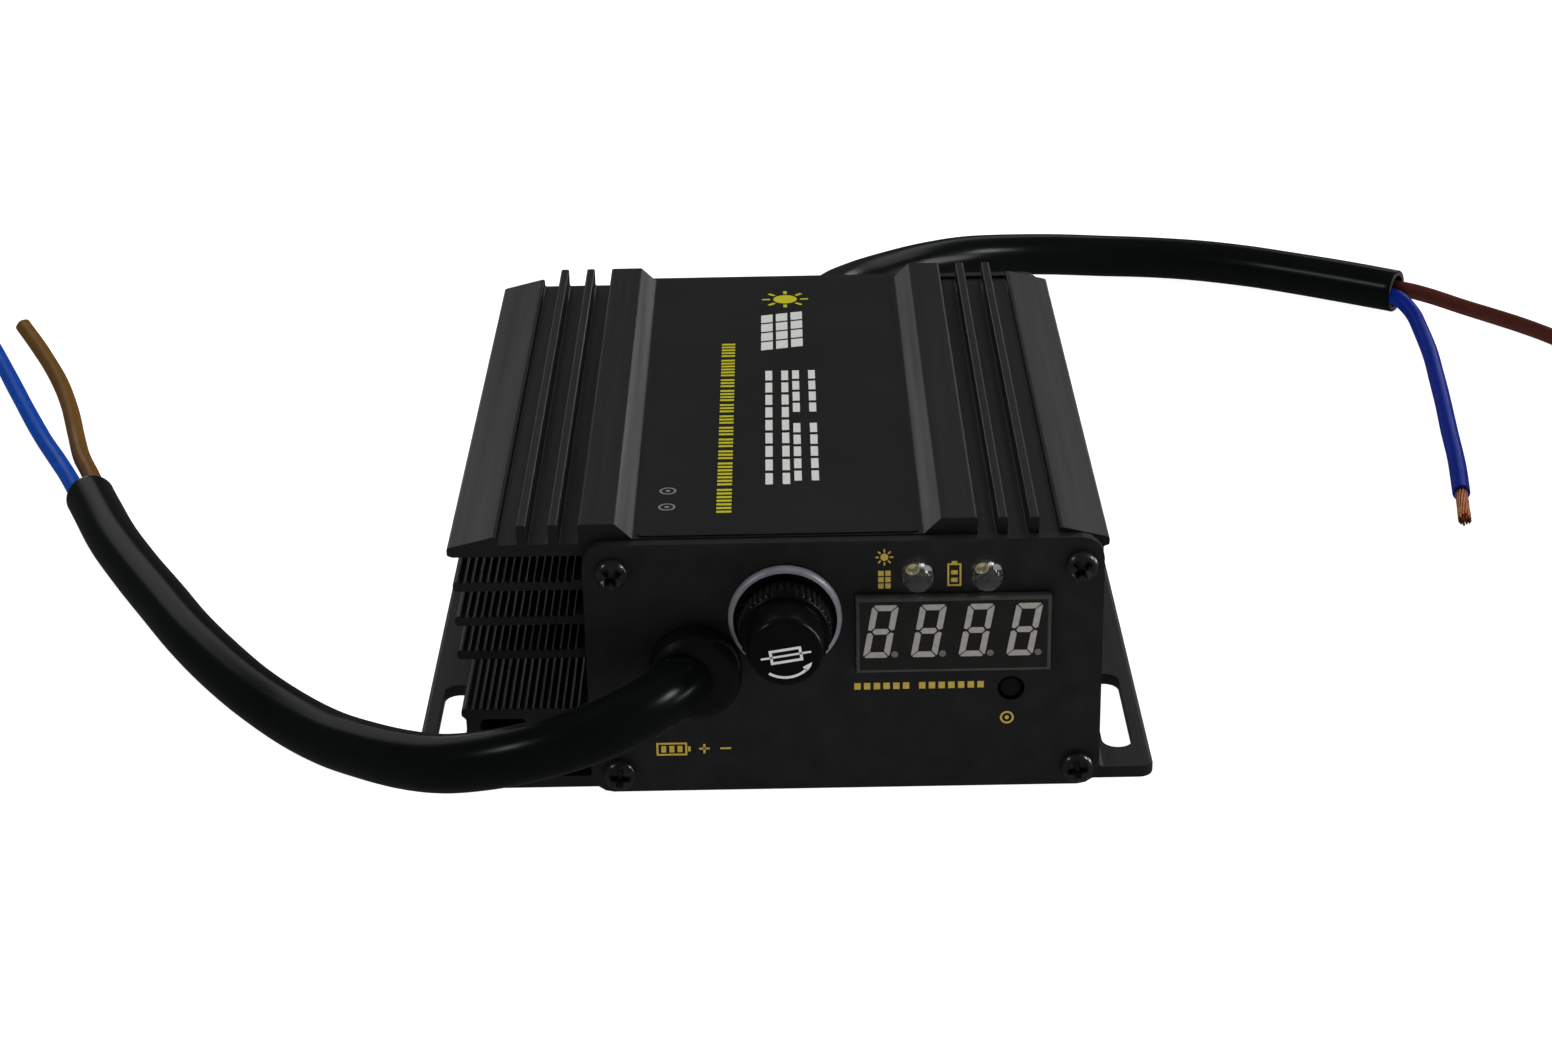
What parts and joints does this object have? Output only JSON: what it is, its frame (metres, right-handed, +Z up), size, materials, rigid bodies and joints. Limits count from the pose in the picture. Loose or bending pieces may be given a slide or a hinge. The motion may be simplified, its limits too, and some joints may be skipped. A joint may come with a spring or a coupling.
{
  "type": "solar charge controller",
  "caption": "Finned black extrusion with slotted flanges, a digital display, a panel fuse, indicators and a two-core pigtail cord out of each end.",
  "frame": {"origin": "middle of the mounting face: midway between the flanges and between the two ends of the extrusion, on the underside", "axes": "+Z up from the mounting face, -Y towards the front plate with the display, +X to the right seen from the front"},
  "size_m": [0.3688, 0.2636, 0.0465],
  "materials": {
    "anodised_black": "satin",
    "plate_black": "matt",
    "label_sheet": "satin",
    "screw_black": "glossy black plating",
    "moulded_black": "glossy",
    "button_black": "satin",
    "nickel_plate": "plated",
    "contact_brass": "bright",
    "spring_steel": "bright",
    "fuse_glass": "clear",
    "tinned_metal": "bright",
    "led_clear": "clear",
    "display_face": "semi-gloss",
    "board_green": "satin",
    "ribbon_grey": "matt",
    "standoff_brass": "satin",
    "clear_film": "matt",
    "ferrite": "painted",
    "enamelled_copper": "glossy",
    "capacitor_sleeve": "glossy",
    "chip_black": "matt",
    "pad_grey": "matt",
    "wire_brown": "satin",
    "wire_blue": "satin",
    "wire_red": "satin",
    "sheath_black": "semi-gloss",
    "core_tan": "satin",
    "core_bright_blue": "satin",
    "core_red_brown": "satin",
    "core_deep_blue": "satin",
    "bare_copper": "bright"
  },
  "bodies": {
    "housing": {"case": "anodised_black", "front_plate": "plate_black", "rear_plate": "plate_black", "top_label": "label_sheet", "front_plate_screws": "screw_black", "rear_plate_screws": "screw_black", "fuse_holder": "moulded_black", "fuse_holder_nut": "nickel_plate", "fuse_rear_contact": "contact_brass", "fuse_side_terminal": "contact_brass", "fuse_contact_spring": "spring_steel", "front_cord_bush": "moulded_black", "rear_cord_bush": "moulded_black", "led_solar": "led_clear", "led_battery": "led_clear", "led_leads": "tinned_metal", "display_module": "display_face", "display_pins": "tinned_metal", "display_board": "board_green", "display_ribbon": "ribbon_grey", "set_switch": "button_black", "main_board": "board_green", "board_standoffs": "standoff_brass", "board_screws": "tinned_metal", "insulating_sheet": "clear_film", "inductor_core": "ferrite", "inductor_winding": "enamelled_copper", "input_capacitors": "capacitor_sleeve", "output_capacitors": "capacitor_sleeve", "power_transistors": "chip_black", "rectifier_diode": "chip_black", "insulating_pads": "pad_grey", "transistor_screws": "tinned_metal", "controller_chip": "chip_black", "driver_chips": "chip_black", "shunt_resistor": "tinned_metal", "battery_lead_positive": "wire_brown", "battery_lead_negative": "wire_blue", "solar_lead_positive": "wire_brown", "solar_lead_negative": "wire_blue", "fuse_leads": "wire_red", "battery_sheath": "sheath_black", "battery_core_brown": "core_tan", "battery_core_blue": "core_bright_blue", "battery_core_tip": "bare_copper", "solar_sheath": "sheath_black", "solar_core_brown": "core_red_brown", "solar_core_blue": "core_deep_blue", "solar_core_tips": "bare_copper"},
    "fuse_carrier": {"fuse_glass": "fuse_glass", "fuse_end_caps": "nickel_plate", "fuse_link": "tinned_metal"},
    "fuse_knob": {"fuse_cap": "moulded_black", "fuse_grip": "contact_brass"},
    "button": {"set_button": "button_black"}
  },
  "joints": [
    {"name": "fuse_pull", "type": "slide", "parent": "housing", "child": "fuse_carrier", "axis": [0, -1, 0], "range_m": [0, 0.04]},
    {"name": "fuse_turn", "type": "hinge", "parent": "fuse_carrier", "child": "fuse_knob", "pos_m": [0.0009, -0.0655, 0.031], "axis": [0, -1, 0], "range_deg": [0, 90]},
    {"name": "set_press", "type": "slide", "parent": "housing", "child": "button", "axis": [0, 1, 0], "range_m": [0, 0.00025], "stiffness_N_per_m": 400}
  ]
}
